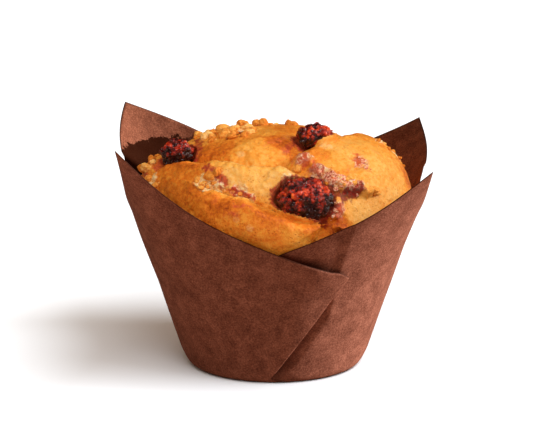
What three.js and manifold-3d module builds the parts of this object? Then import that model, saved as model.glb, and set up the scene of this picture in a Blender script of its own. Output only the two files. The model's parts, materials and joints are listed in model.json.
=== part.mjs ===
// A berry muffin in its folded paper case, millimetres, +Z up.
// The origin is the middle of the case's underside, on the surface that it stands on.
// Angles go round the axis in degrees, from -Y (the front) towards +X.

import * as THREE from 'three';
import { mergeVertices } from 'three/addons/utils/BufferGeometryUtils.js';
import Module from 'manifold-3d';

const wasm = await Module();
wasm.setup();

// Paper case: a square sheet pressed into a round cup, its corners standing up as four peaks.
const FOOT_RADIUS = 25;      // where the wall's line would meet the surface
const WALL_SLOPE = 0.355;    // how far the wall leans out for each mm of height
const FOOT_ROUND = 3.5;      // radius between the flat foot and the wall
const PAPER = 0.45;          // pressed sheet
const EDGE_ANGLE = 67.5;     // from a peak to the lowest end of its edge
const PEAKS = {
  backLeft: { at: -133.8, tip: 69, reach: 63.2, spread: [38, 42], edges: [[0, 0.1, 36], [0.1, 0.2, 34]] },
  frontLeft: { at: -45, tip: 69.7, reach: 60, spread: [38, 38], edges: [[0.35, 0.13, 34], [0.4, 0.12, 34.3]] },
  frontRight: { at: 45, tip: 64, reach: 60, spread: [38, 38], edges: [[0.34, 0.14, 33], [0.35, 0.13, 34]] },
  backRight: { at: 135.6, tip: 64, reach: 63.6, spread: [44, 38], edges: [[0.1, 0.1, 38], [0.15, 0.15, 36]] },
};
// Each spread pair holds how far round from its peak a corner still leans out, before and after.
// Each edges pair holds the side before and after the peak: share of the fall that is a
// sharp spike, the spike's width as a part of the edge, and the height where the edge ends.

// Pleats: where two panels cross, the flap of one lies over the other and ends at a leaning fold.
const FOLD_STEP = 0.45;      // how far the flap stands proud of the panel under it
const FOLD_START = 5;        // height where the fold begins
const FLAP_ROOT = 12;        // degrees from the crossing back to where the flap leaves the wall
const FLAP_FALL = 0.3;       // drop of the flap's edge for each degree past the panel's own edge
const PLEATS = [
  { at: 1.7, turn: 1, owner: 'frontLeft', lift: 1.1, start: -3.2, lean: 0.69 },
  { at: 90, turn: 1, owner: 'frontRight', lift: 0.3, start: 0, lean: 0.46 },
  { at: -90, turn: -1, owner: 'frontLeft', lift: 0.3, start: 0, lean: 0.46 },
  { at: 180, turn: -1, owner: 'backLeft', lift: 0.6, start: 0, lean: 0.46 },
];
// Each pleat has the angle of its crossing, the way its flap runs on, the panel that the flap
// belongs to, how far the flap's top edge springs open, and the fold's line: how far past the
// crossing it starts, and its sideways run for each mm of height.

// Muffin: crumb that fills the case, and a domed crust above it.
const CRUMB_GAP = 0.45;      // between crumb and paper
const CRUST = { radius: 39.4, shoulder: 45, rise: 22.6, roundness: 2.7, crown: 2 };
const HEART = [0, 0, 38];    // the point that the crust is measured from
const CRUST_SPAN = 36;       // mm that one radian of the crust's surface is taken as
const BERRY_GAP = 0.5;       // between a berry and the hollow that it sits in

// Cracks between the risen lobes. Below is the side nearer the first lobe's foot.
const CRACKS = [
  // Front roll.
  {
    depth: 5, width: 2.8, below: 1.8, above: -1,
    path: [[-20, -28, 57], [-13, -33, 56], [-5, -36, 54.8], [1.5, -37.5, 52.3], [9, -37, 50],
      [14, -36, 48.7], [13, -36, 46], [11, -37, 41]],
  },
  // Upper left lobe.
  {
    depth: 4.6, width: 2.8, below: 1.8, above: -1.6,
    path: [[-34, -10, 57], [-29, -12, 61], [-19, -21, 63.3], [-8.6, -26, 64.1], [2, -27.5, 64.1], [8, -30, 61]],
  },
  // Right lobe.
  {
    depth: 4, width: 2.6, below: 1.2, above: -1,
    path: [[2, -27, 64.5], [7, -19.5, 67.4], [13, -13.4, 68.1], [17, -5.6, 68.3], [22, 6, 65], [27, 17, 58]],
  },
  // Right split.
  { depth: 1.6, width: 1.8, below: 0, above: 0, path: [[20, -17, 64], [24, -19, 62], [21, -25, 59.7]] },
  // Back left lobe.
  {
    depth: 3, width: 2.8, below: 1, above: -0.6,
    path: [[-24, 6, 65], [-17, 17, 62], [-8, 24, 60], [4, 27, 59], [16, 30, 54]],
  },
  // Back split.
  { depth: 2.2, width: 2.2, below: 0, above: 0, path: [[-8, 24, 60], [-14, 32, 53], [-17, 35, 46]] },
];

// Swellings of the crust: middle, width and height.
const SWELLINGS = [
  { at: [-8, -35, 47], width: 13, height: 1.2 },
  { at: [-17, -27, 60], width: 9, height: 1.2 },
  { at: [30, -5, 62], width: 11, height: 3 },
  { at: [25, -22, 58], width: 9, height: 1 },
  { at: [-34, -4, 58], width: 8, height: 2.4 },
  { at: [2, -6, 69], width: 12, height: 0.6 },
  { at: [6, 30, 52], width: 12, height: 1.2 },
];

// Berries baked into the crust: middle and half sizes.
const BERRIES = [
  { name: 'berry_front', at: [8.2, -33.4, 54.6], half: [8.4, 6.2, 6.8], seed: 3 },
  { name: 'berry_left', at: [-27.6, -7.5, 62.6], half: [5.6, 6, 4.8], seed: 11 },
  { name: 'berry_top', at: [11.3, -9.6, 67.8], half: [6, 5.4, 4], seed: 23 },
];
const DRUPELETS = 26;
const DRUPELET_RELIEF = 0.16;

// Pale crumble baked onto the crust: each band is a path with how many pieces and their size.
const CRUMBLE = [
  { path: [[-24, 3, 66], [-15, -4, 69], [-8, -6, 69.7]], count: 14, spread: 3, size: [1.1, 2] },
  { path: [[-36, -2, 56], [-34, -6, 60]], count: 5, spread: 3, size: [1, 1.9] },
  { path: [[-35, -16, 52], [-33, -20, 53]], count: 3, spread: 1.5, size: [1.3, 2] },
  { path: [[4, -26, 64.6], [14, -28, 61.6], [22, -26.6, 58], [26, -25, 55.5]], count: 8, spread: 1.8, size: [1, 1.7] },
  { path: [[-21, -27, 58], [-16, -29, 60]], count: 4, spread: 2, size: [1, 1.6] },
  { path: [[-12, 20, 63], [4, 14, 67]], count: 6, spread: 5, size: [1.2, 2] },
];
const CRUMBLE_SEED = 41;

const COLUMNS = 8;           // mesh columns from a peak to the crossing beside it
const COLUMN_CROWDING = 1.4; // above 1 the columns crowd towards the peak
const FOOT_ROWS = 3;
const WALL_ROWS = 9;
const CRUST_DETAIL = 12;
const CRUST_CROWDING = 0.35; // above 0 the crust's mesh is finer at the top than in the case
const BERRY_DETAIL = 4;
const HOLLOW_DETAIL = 3;

const radians = (degrees) => degrees * Math.PI / 180;
const clamp = (x, low, high) => Math.min(Math.max(x, low), high);
const mix = (a, b, t) => a + (b - a) * t;

function smooth(from, to, x) {
  const t = clamp((x - from) / (to - from), 0, 1);
  return t * t * (3 - 2 * t);
}

function angleBetween(a, b) {
  return ((a - b + 180) % 360 + 360) % 360 - 180;
}

function polar(angle, radius, z) {
  return [radius * Math.sin(radians(angle)), -radius * Math.cos(radians(angle)), z];
}

function seeded(seed) {
  let state = seed;
  return () => {
    state = (state * 1664525 + 1013904223) % 4294967296;
    return state / 4294967296;
  };
}

// The case's outer face: a cone, with each corner leaning further out towards its tip.
function wallRadius(angle, z) {
  let radius = FOOT_RADIUS + WALL_SLOPE * z;
  for (const peak of Object.values(PEAKS)) {
    const turn = angleBetween(angle, peak.at);
    const away = Math.abs(turn) / peak.spread[turn < 0 ? 0 : 1];
    if (away < 1) {
      const flare = peak.reach - FOOT_RADIUS - WALL_SLOPE * peak.tip;
      radius += flare * clamp(z / peak.tip, 0, 1.2) ** 3 * (1 - away * away) ** 2.5;
    }
  }
  return radius;
}

// Height of one panel's free edge at an angle.
function edgeHeight(peak, angle) {
  const turn = angleBetween(angle, peak.at);
  const [spike, width, end] = peak.edges[turn < 0 ? 0 : 1];
  const along = Math.min(Math.abs(turn) / EDGE_ANGLE, 1);
  return end + (peak.tip - end) * ((1 - spike) * (1 - along) + spike * Math.exp(-along / width));
}

function rimHeight(angle) {
  return Math.max(...Object.values(PEAKS).map((peak) => edgeHeight(peak, angle)));
}

const WALL_TURN = Math.PI / 2 - Math.atan(WALL_SLOPE);
const FLAT_RADIUS = FOOT_RADIUS - FOOT_ROUND * Math.tan(WALL_TURN / 2);
const LEVEL_THICKNESS = Math.hypot(1, WALL_SLOPE);   // level run through one mm of wall

// A point of the case's face that lies a given depth inside its outer face.
function casePoint(angle, row, depth) {
  if (row <= FOOT_ROWS) {
    const turn = WALL_TURN * row / FOOT_ROWS;
    const round = FOOT_ROUND - depth;
    return polar(angle, FLAT_RADIUS + round * Math.sin(turn), FOOT_ROUND - round * Math.cos(turn));
  }
  const foot = FOOT_ROUND - (FOOT_ROUND - depth) * Math.cos(WALL_TURN);
  const z = mix(foot, rimHeight(angle), (row - FOOT_ROWS) / WALL_ROWS);
  return polar(angle, wallRadius(angle, z) - depth * LEVEL_THICKNESS, z);
}

// Column angles: exact at the four peaks and the four crossings.
function columnAngles() {
  const peaks = Object.values(PEAKS).map((peak) => peak.at);
  const crossings = PLEATS.map((pleat) => pleat.at);
  const angles = [];
  for (const peak of peaks) {
    for (const side of [-1, 1]) {
      const turns = crossings.map((at) => angleBetween(at, peak)).filter((turn) => turn * side > 0);
      const span = turns.reduce((near, turn) => (Math.abs(turn) < Math.abs(near) ? turn : near));
      for (let i = side < 0 ? 1 : 0; i < COLUMNS + (side < 0 ? 1 : 0); i++) {
        angles.push((peak + span * (i / COLUMNS) ** COLUMN_CROWDING + 360) % 360);
      }
    }
  }
  return angles.sort((a, b) => a - b);
}

function geometryOf(points, faces) {
  const geometry = new THREE.BufferGeometry();
  geometry.setAttribute('position', new THREE.Float32BufferAttribute(points.flat(), 3));
  geometry.setIndex(faces.flat());
  return geometry;
}

// The cup itself: outer face, inner face, rim and the two discs of its foot.
function cup() {
  const angles = columnAngles();
  const rows = FOOT_ROWS + WALL_ROWS + 1;
  const points = [];
  for (const depth of [0, PAPER]) {
    for (const angle of angles) {
      for (let row = 0; row < rows; row++) points.push(casePoint(angle, row, depth));
    }
  }
  const at = (side, column, row) => (side * angles.length + column % angles.length) * rows + row;
  const faces = [];
  const quad = (a, b, c, d) => faces.push([a, b, c], [a, c, d]);
  for (let c = 0; c < angles.length; c++) {
    for (let r = 0; r < rows - 1; r++) {
      quad(at(0, c, r), at(0, c + 1, r), at(0, c + 1, r + 1), at(0, c, r + 1));
      quad(at(1, c, r), at(1, c, r + 1), at(1, c + 1, r + 1), at(1, c + 1, r));
    }
    quad(at(0, c, rows - 1), at(0, c + 1, rows - 1), at(1, c + 1, rows - 1), at(1, c, rows - 1));
  }
  for (let c = 1; c < angles.length - 1; c++) {
    faces.push([at(0, 0, 0), at(0, c + 1, 0), at(0, c, 0)]);
    faces.push([at(1, 0, 0), at(1, c, 0), at(1, c + 1, 0)]);
  }
  return geometryOf(points, faces);
}

// A closed slab over a grid, from its two faces; place(column, row, side) gives the points.
function slab(columns, rows, place) {
  const points = [];
  for (const side of [0, 1]) {
    for (let c = 0; c <= columns; c++) {
      for (let r = 0; r <= rows; r++) points.push(place(c / columns, r / rows, side));
    }
  }
  const at = (side, c, r) => (side * (columns + 1) + c) * (rows + 1) + r;
  const faces = [];
  const quad = (a, b, c, d) => faces.push([a, b, c], [a, c, d]);
  for (let c = 0; c < columns; c++) {
    for (let r = 0; r < rows; r++) {
      quad(at(0, c, r), at(0, c + 1, r), at(0, c + 1, r + 1), at(0, c, r + 1));
      quad(at(1, c, r), at(1, c, r + 1), at(1, c + 1, r + 1), at(1, c + 1, r));
    }
    quad(at(0, c, rows), at(0, c + 1, rows), at(1, c + 1, rows), at(1, c, rows));
    quad(at(0, c, 0), at(1, c, 0), at(1, c + 1, 0), at(0, c + 1, 0));
  }
  for (let r = 0; r < rows; r++) {
    quad(at(0, 0, r), at(0, 0, r + 1), at(1, 0, r + 1), at(1, 0, r));
    quad(at(0, columns, r), at(1, columns, r), at(1, columns, r + 1), at(0, columns, r + 1));
  }
  return geometryOf(points, faces);
}

// The angle of a pleat at a height: across is 0 at the flap's root and 1 at its fold.
function flapAngle(pleat, across, z) {
  const fold = (pleat.start + pleat.lean * z) / wallRadius(pleat.at, z) * 180 / Math.PI;
  return pleat.at + pleat.turn * mix(-FLAP_ROOT, fold, across);
}

// One flap, fused to the panel under it low down and sprung open at its top edge.
function flap(pleat) {
  const owner = PEAKS[pleat.owner];
  const columns = 7;
  const rows = 9;
  return slab(columns, rows, (u, v, side) => {
    const across = pleat.turn > 0 ? u : 1 - u;
    let top = 40;
    for (let i = 0; i < 30; i++) {
      const angle = flapAngle(pleat, across, top);
      const past = Math.max(Math.abs(angleBetween(angle, owner.at)) - EDGE_ANGLE, 0);
      top = edgeHeight(owner, angle) - FLAP_FALL * past;
    }
    top -= 0.6 * (1 - smooth(0.1, 0.3, across));
    const z = mix(FOLD_START, top, v);
    const lift = pleat.lift * smooth(0.15, 0.45, across) * (1 - 0.6 * smooth(0.5, 1, across));
    const step = FOLD_STEP * smooth(FOLD_START, FOLD_START + 7, z);
    const outer = mix(-0.15, step, smooth(0, 0.55, across)) + lift * smooth(top - 9, top, z);
    const free = smooth(0.15, 0.35, across) * smooth(top - 7, top - 5, z);
    const inner = mix(-0.32, outer - PAPER * 0.9, free);
    const angle = flapAngle(pleat, across, z);
    return polar(angle, wallRadius(angle, z) + (side === 0 ? outer : inner), z);
  });
}

function solidOf(geometry) {
  return new wasm.Manifold(new wasm.Mesh({
    numProp: 3,
    vertProperties: new Float32Array(geometry.attributes.position.array),
    triVerts: new Uint32Array(geometry.index.array),
  }));
}

function geometryFrom(solid) {
  const mesh = solid.getMesh();
  const geometry = new THREE.BufferGeometry();
  geometry.setAttribute('position', new THREE.BufferAttribute(new Float32Array(mesh.vertProperties), 3));
  geometry.setIndex(new THREE.BufferAttribute(new Uint32Array(mesh.triVerts), 1));
  return geometry;
}

function paperCase() {
  let solid = solidOf(cup());
  for (const pleat of PLEATS) solid = solid.add(solidOf(flap(pleat)));
  return geometryFrom(solid);
}

// Whether a point is inside the plain muffin, before its cracks and swellings.
function inPlainMuffin(x, y, z) {
  const clear = PAPER + CRUMB_GAP;
  if (z < clear) return false;
  const radius = Math.hypot(x, y);
  const round = FOOT_ROUND - clear;
  if (z < FOOT_ROUND && radius > FLAT_RADIUS && Math.hypot(radius - FLAT_RADIUS, z - FOOT_ROUND) > round) return false;
  const angle = Math.atan2(x, -y) * 180 / Math.PI;
  if (radius > wallRadius(angle, z) - clear * LEVEL_THICKNESS) return false;
  const level = (radius / CRUST.radius) ** CRUST.roundness;
  const upright = (Math.max(z - CRUST.shoulder, 0) / CRUST.rise) ** CRUST.crown;
  return level + upright < 1;
}

// Distance from a point of the unit sphere to a path on it, the place along it and the side.
function nearestOnPath(direction, path) {
  let best = { distance: Infinity };
  const along = path.length - 1;
  for (let i = 0; i < along; i++) {
    const a = path[i];
    const b = path[i + 1];
    const run = b.clone().sub(a);
    const t = clamp(direction.clone().sub(a).dot(run) / run.lengthSq(), 0, 1);
    const offset = direction.clone().sub(a.clone().addScaledVector(run, t));
    const distance = offset.length() * CRUST_SPAN;
    if (distance < best.distance) {
      const side = Math.sign(new THREE.Vector3().crossVectors(run, offset).dot(direction));
      best = { distance, place: (i + t) / along, side };
    }
  }
  return best;
}

const directionOf = (point) => new THREE.Vector3(...point).sub(new THREE.Vector3(...HEART)).normalize();
const crackPaths = CRACKS.map((crack) => crack.path.map(directionOf));
const swellingDirections = SWELLINGS.map((swelling) => directionOf(swelling.at));

// How far the crust stands out (or sinks in) along a direction.
function relief(direction) {
  let height = 0;
  CRACKS.forEach((crack, i) => {
    const { distance, place, side } = nearestOnPath(direction, crackPaths[i]);
    const ends = 0.3 + 0.7 * Math.sqrt(Math.max(Math.sin(Math.PI * place), 0));
    height -= crack.depth * ends * Math.exp(-distance / crack.width);
    const step = side > 0 ? crack.above : crack.below;
    height += step * ends * Math.exp(-((distance / 9) ** 2));
  });
  SWELLINGS.forEach((swelling, i) => {
    const distance = direction.distanceTo(swellingDirections[i]) * CRUST_SPAN;
    height += swelling.height * Math.exp(-((distance / swelling.width) ** 2));
  });
  return height;
}

// The muffin's surface along a direction from its heart.
function crustPoint(direction) {
  let low = 0;
  let high = 90;
  for (let i = 0; i < 40; i++) {
    const middle = (low + high) / 2;
    const [x, y, z] = HEART.map((value, k) => value + direction.getComponent(k) * middle);
    if (inPlainMuffin(x, y, z)) low = middle;
    else high = middle;
  }
  const z = HEART[2] + direction.z * low;
  const open = smooth(36, 43, z);
  const reach = low + relief(direction) * open;
  const point = direction.clone().multiplyScalar(reach).add(new THREE.Vector3(...HEART));
  const angle = Math.atan2(point.x, -point.y) * 180 / Math.PI;
  const limit = wallRadius(angle, point.z) - (PAPER + CRUMB_GAP) * LEVEL_THICKNESS;
  const radius = Math.hypot(point.x, point.y);
  if (radius > limit && point.z < rimHeight(angle) + 3) {
    point.x *= limit / radius;
    point.y *= limit / radius;
  }
  return point;
}

// A ball of even triangles, each point placed by a rule.
function ball(detail, place) {
  const geometry = new THREE.IcosahedronGeometry(1, detail);
  geometry.deleteAttribute('normal');
  geometry.deleteAttribute('uv');
  const merged = mergeVertices(geometry, 1e-4);
  const position = merged.attributes.position;
  const direction = new THREE.Vector3();
  for (let i = 0; i < position.count; i++) {
    direction.fromBufferAttribute(position, i).normalize();
    const point = place(direction);
    position.setXYZ(i, point.x, point.y, point.z);
  }
  return merged;
}

function ellipsoid(at, half, grow, detail) {
  return ball(detail, (direction) => new THREE.Vector3(
    at[0] + direction.x * (half[0] + grow),
    at[1] + direction.y * (half[1] + grow),
    at[2] + direction.z * (half[2] + grow),
  ));
}

// One crumb of the crumble: a lumpy twenty-sided grain.
function grain(centre, size, random) {
  const flat = mix(0.65, 1, random());
  return ball(0, (direction) => {
    const lump = size * mix(0.8, 1.15, random());
    return new THREE.Vector3(
      centre.x + direction.x * lump,
      centre.y + direction.y * lump,
      centre.z + direction.z * lump * flat,
    );
  });
}

// Whether a grain keeps clear of every berry and of the paper.
function grainIsClear(centre, size) {
  const clearOfBerries = BERRIES.every(({ at, half }) => {
    const scaled = [0, 1, 2].map((k) => (centre.getComponent(k) - at[k]) / (half[k] + size * 1.15 + BERRY_GAP));
    return Math.hypot(...scaled) > 1;
  });
  const angle = Math.atan2(centre.x, -centre.y) * 180 / Math.PI;
  const room = wallRadius(angle, centre.z) - PAPER * LEVEL_THICKNESS - Math.hypot(centre.x, centre.y);
  return clearOfBerries && (room > size * 1.3 + 0.4 || centre.z > rimHeight(angle) + size + 1);
}

function muffin() {
  const crowded = (direction) => direction.clone().setZ(direction.z + CRUST_CROWDING).normalize();
  let solid = solidOf(ball(CRUST_DETAIL, (direction) => crustPoint(crowded(direction))));
  const random = seeded(CRUMBLE_SEED);
  for (const band of CRUMBLE) {
    for (let i = 0; i < band.count; i++) {
      const along = (i + random()) / band.count * (band.path.length - 1);
      const step = Math.min(Math.floor(along), band.path.length - 2);
      const place = new THREE.Vector3(...band.path[step]).lerp(new THREE.Vector3(...band.path[step + 1]), along - step);
      const stray = () => (random() - 0.5) * 2 * band.spread;
      place.add(new THREE.Vector3(stray(), stray(), stray()));
      const size = mix(band.size[0], band.size[1], random());
      const direction = directionOf(place.toArray());
      const centre = crustPoint(direction).addScaledVector(direction, size * 0.25);
      if (grainIsClear(centre, size)) solid = solid.add(solidOf(grain(centre, size, random)));
    }
  }
  for (const { at, half } of BERRIES) {
    solid = solid.subtract(solidOf(ellipsoid(at, half, BERRY_GAP, HOLLOW_DETAIL)));
  }
  return geometryFrom(solid);
}

// A soft berry: drupelets evenly spread over an uneven ball.
function berry({ at, half, seed }) {
  const random = seeded(seed);
  const turn = random() * Math.PI;
  const golden = Math.PI * (3 - Math.sqrt(5));
  const centres = [];
  for (let i = 0; i < DRUPELETS; i++) {
    const z = 1 - (2 * i + 1) / DRUPELETS;
    const ring = Math.sqrt(1 - z * z);
    centres.push(new THREE.Vector3(ring * Math.cos(golden * i + turn), ring * Math.sin(golden * i + turn), z));
  }
  const spread = Math.sqrt(4 / DRUPELETS);
  return ball(BERRY_DETAIL, (direction) => {
    const nearest = Math.min(...centres.map((centre) => centre.distanceTo(direction)));
    const dome = Math.sqrt(Math.max(1 - (nearest / spread / 1.15) ** 2, 0));
    const scale = 1 - DRUPELET_RELIEF * (1 - dome);
    return new THREE.Vector3(
      at[0] + direction.x * half[0] * scale,
      at[1] + direction.y * half[1] * scale,
      at[2] + direction.z * half[2] * scale,
    );
  });
}

const paperLook = new THREE.MeshStandardMaterial({ color: 0x6b362a, roughness: 0.85, metalness: 0 });
const crustLook = new THREE.MeshStandardMaterial({ color: 0xd9974c, roughness: 0.7, metalness: 0 });
const berryLook = new THREE.MeshStandardMaterial({ color: 0x7c1822, roughness: 0.3, metalness: 0 });

function named(name, geometry, material) {
  const mesh = new THREE.Mesh(geometry, material);
  mesh.name = name;
  return mesh;
}

const part = new THREE.Group();
part.add(named('paper_wrap', paperCase(), paperLook));
part.add(named('muffin', muffin(), crustLook));
for (const entry of BERRIES) part.add(named(entry.name, berry(entry), berryLook));

export default part;
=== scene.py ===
import itertools
import json
import math

import bmesh
import bpy
import numpy as np
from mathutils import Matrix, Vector
from mathutils.bvhtree import BVHTree

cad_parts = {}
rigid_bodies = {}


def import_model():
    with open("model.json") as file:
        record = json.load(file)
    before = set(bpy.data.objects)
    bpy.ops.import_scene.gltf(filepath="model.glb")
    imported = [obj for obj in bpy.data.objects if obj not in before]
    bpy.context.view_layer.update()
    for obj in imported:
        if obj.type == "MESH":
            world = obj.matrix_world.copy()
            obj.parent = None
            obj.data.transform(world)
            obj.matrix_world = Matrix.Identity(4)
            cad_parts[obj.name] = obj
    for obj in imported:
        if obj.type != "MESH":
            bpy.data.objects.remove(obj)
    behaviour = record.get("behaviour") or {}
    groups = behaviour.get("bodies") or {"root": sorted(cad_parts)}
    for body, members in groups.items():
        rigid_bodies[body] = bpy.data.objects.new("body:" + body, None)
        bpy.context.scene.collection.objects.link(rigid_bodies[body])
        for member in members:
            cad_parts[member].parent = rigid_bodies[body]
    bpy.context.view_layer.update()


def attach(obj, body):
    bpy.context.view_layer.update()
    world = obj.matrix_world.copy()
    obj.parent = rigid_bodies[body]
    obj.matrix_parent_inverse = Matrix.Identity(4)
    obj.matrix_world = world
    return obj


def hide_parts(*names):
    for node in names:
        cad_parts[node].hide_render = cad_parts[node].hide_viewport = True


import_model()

MM = 0.001
HEART = np.array([0.0, 0.0, 38.0])  # the point that the crust is measured from
CRUST_SPAN = 36.0  # mm that one radian of the crust's surface is taken as

# The photograph's frame and its camera.
PICTURE = (550, 440)
LENS_PIXELS = 2134.0
SENSOR = 36.0
CAMERA_AT = np.array([0.14, -600.0, 172.9])
CAMERA_DOWN = 12.34

# Paper case. A corner has its angle, height and radius, how far its flare spreads on either side,
# and for each edge the share of a spike in its fall, the spike's width and the edge's low end.
FOOT_RADIUS = 25.0
WALL_SLOPE = 0.355
FOOT_ROUND = 3.5
EDGE_ANGLE = 67.5  # degrees from a corner to the low end of its edge
SHEET = 0.18  # thickness of the paper
PEAKS = {
    "backLeft": dict(at=-133.8, tip=69.0, reach=63.2, spread=(38.0, 42.0),
                     edges=((0.0, 0.1, 36.0), (0.1, 0.2, 34.0))),
    "frontLeft": dict(at=-45.0, tip=69.7, reach=60.0, spread=(38.0, 38.0),
                      edges=((0.35, 0.13, 34.0), (0.5, 0.15, 35.1))),
    "frontRight": dict(at=45.0, tip=64.0, reach=60.0, spread=(75.0, 38.0),
                       edges=((0.34, 0.14, 33.0), (0.35, 0.13, 34.0))),
    "backRight": dict(at=135.6, tip=64.0, reach=63.6, spread=(44.0, 38.0),
                      edges=((0.1, 0.1, 38.0), (0.15, 0.15, 36.0))),
}

# A pleat has its angle, the way it turns, the panels over and under it, how far its free end lifts
# and how deep the lower panel dips. Its fold starts at a distance past the crossing and leans with
# height. The front one's hidden fold lies further back, and a pocket opens over its flap.
PLAIN = dict(start=0.0, lean=0.46, hide=0.0, pocket=0.0)
PLEATS = [
    dict(at=-90.0, turn=-1, owner="frontLeft", under="backLeft", lift=0.3, dip=0.5, **PLAIN),
    dict(at=1.7, turn=1, owner="frontLeft", under="frontRight", lift=1.2, dip=1.15,
         start=-3.2, lean=0.69, hide=2.4, pocket=0.5),
    dict(at=90.0, turn=1, owner="frontRight", under="backRight", lift=0.3, dip=0.5, **PLAIN),
    dict(at=180.0, turn=-1, owner="backLeft", under="backRight", lift=0.6, dip=0.5, **PLAIN),
]
PLEAT_HALF = 24.0  # degrees that a pleat takes up on either side
FOLD_STEP = 0.45  # how far the upper layer stands out at its fold
TURN_RADIUS = 0.2  # of the paper round a fold
DIP_RUN = 4.2  # how far from a fold the panel under it sinks
FLAP_ROOT = 7.5  # how far before the crossing the upper layer starts to rise
FLAP_FALL = (0.04, 0.025)  # a flap's drop past its panel's edge, by degrees and their square
FLAP_EDGE = 40.6  # height of the front flap's edge at its crossing
FLAP_DESCENT = 0.37  # and its fall for each mm past the crossing
HIDDEN_LEAN = 0.2  # how far a hidden fold moves back for each mm of height
LIFT_HEIGHT = 9.0  # below its edge, where an upper layer starts to lift
SWAY_SIZE = 17.0  # of the slow waves in the panels
SWAY_DEPTH = 0.28
SLIT_SHADE = 3.8  # how dark the shade painted in the slit over the front flap is for each mm of its pocket
HIDDEN_DROP = 1.6  # how far the folded-in layer's edge stays below the flap's
SHADOW_PAINT_TOP = 58.7  # about how high the shadow painted on the paper's inner face reaches
COLUMN_STEP = 1.3  # degrees between the columns of a plain panel
TIP_COLUMNS = (-1.8, -1.2, -0.75, -0.4, -0.15, 0.0, 0.15, 0.4, 0.75, 1.2, 1.8)  # round each corner
TIP_HALF = 2.2  # degrees round a corner without other columns
PLEAT_COLUMNS = {
    "outer": np.linspace(0.0, 1.0, 26), "turn": (0.2, 0.4, 0.6, 0.8), "middle": np.linspace(0.0, 1.0, 9),
    "back": (0.25, 0.5, 0.75), "under": np.linspace(0.0, 1.0, 34),
}

# Muffin.
CRUST = dict(radius=39.4, shoulder=45.0, rise=22.6, roundness=2.7, crown=2.0)
PAPER_ROOM = 0.95  # from the case's outer face to the crumb
CRUMB_ROOM = 0.48  # and to the loose crumbs
FREE_HEIGHTS = (36.0, 43.0)  # between which the crust's relief grows in
MARK_HEIGHTS = (36.0, 42.0)  # and its marks
RIM_SPILL = 0.35  # how far the crust may lean out for each mm over the paper's edge
SOFT_LIMIT = 0.025  # how gently it keeps inside the paper, as a share of its radius
LOBE_REACH = 9.0  # how far from a crack its sides stand out
LIP_AT = 2.4  # distance of the lip's ridge from a crack
LIP_WIDTH = 1.3
ROUGH_FREQUENCY = 44  # net of the plain crust that marks are placed on

# Cracks between the risen lobes: depth, then for the lower and the upper side the width, how far
# that side stands out and the ridge along its lip, and the path.
CRACKS = [
    dict(depth=5.0, widths=(1.6, 3.4), steps=(2.0, -1.2), lips=(0.5, 0.0), path=[
        (-20, -28, 57), (-13, -33, 56), (-5, -36, 54.8), (1.5, -37.5, 52.3), (9, -37, 50),
        (14, -36, 48.7), (13, -36, 46), (11, -37, 41)]),
    dict(depth=4.6, widths=(1.3, 3.2), steps=(2.0, -1.6), lips=(0.6, 0.0), path=[
        (-34, -10, 57), (-29, -12, 61), (-19, -21, 63.3), (-8.6, -26, 64.1), (2, -27.5, 64.1), (8, -30, 61)]),
    dict(depth=4.0, widths=(1.4, 3.0), steps=(1.4, -1.0), lips=(0.4, 0.0), path=[
        (2, -27, 64.5), (7, -19.5, 67.4), (13, -13.4, 68.1), (17, -5.6, 68.3), (22, 6, 65), (27, 17, 58)]),
    dict(depth=1.8, widths=(1.4, 1.4), steps=(0.0, 0.0), lips=(0.3, 0.3), path=[
        (20, -17, 64), (24, -19, 62), (21, -25, 59.7)]),
    dict(depth=3.0, widths=(1.6, 3.0), steps=(1.0, -0.6), lips=(0.4, 0.0), path=[
        (-24, 6, 65), (-17, 17, 62), (-8, 24, 60), (4, 27, 59), (16, 30, 54)]),
    dict(depth=2.2, widths=(1.6, 1.6), steps=(0.0, 0.0), lips=(0.3, 0.3), path=[
        (-8, 24, 60), (-14, 32, 53), (-17, 35, 46)]),
]
SWELLINGS = [  # place, width and rise
    ((-8, -35, 47), 13, 1.2), ((-17, -27, 60), 9, 1.2), ((30, -5, 62), 11, 3.0), ((25, -22, 58), 9, 1.0),
    ((-34, -4, 58), 8, 2.4), ((2, -6, 69), 12, 0.6), ((6, 30, 52), 12, 1.2),
]
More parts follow.
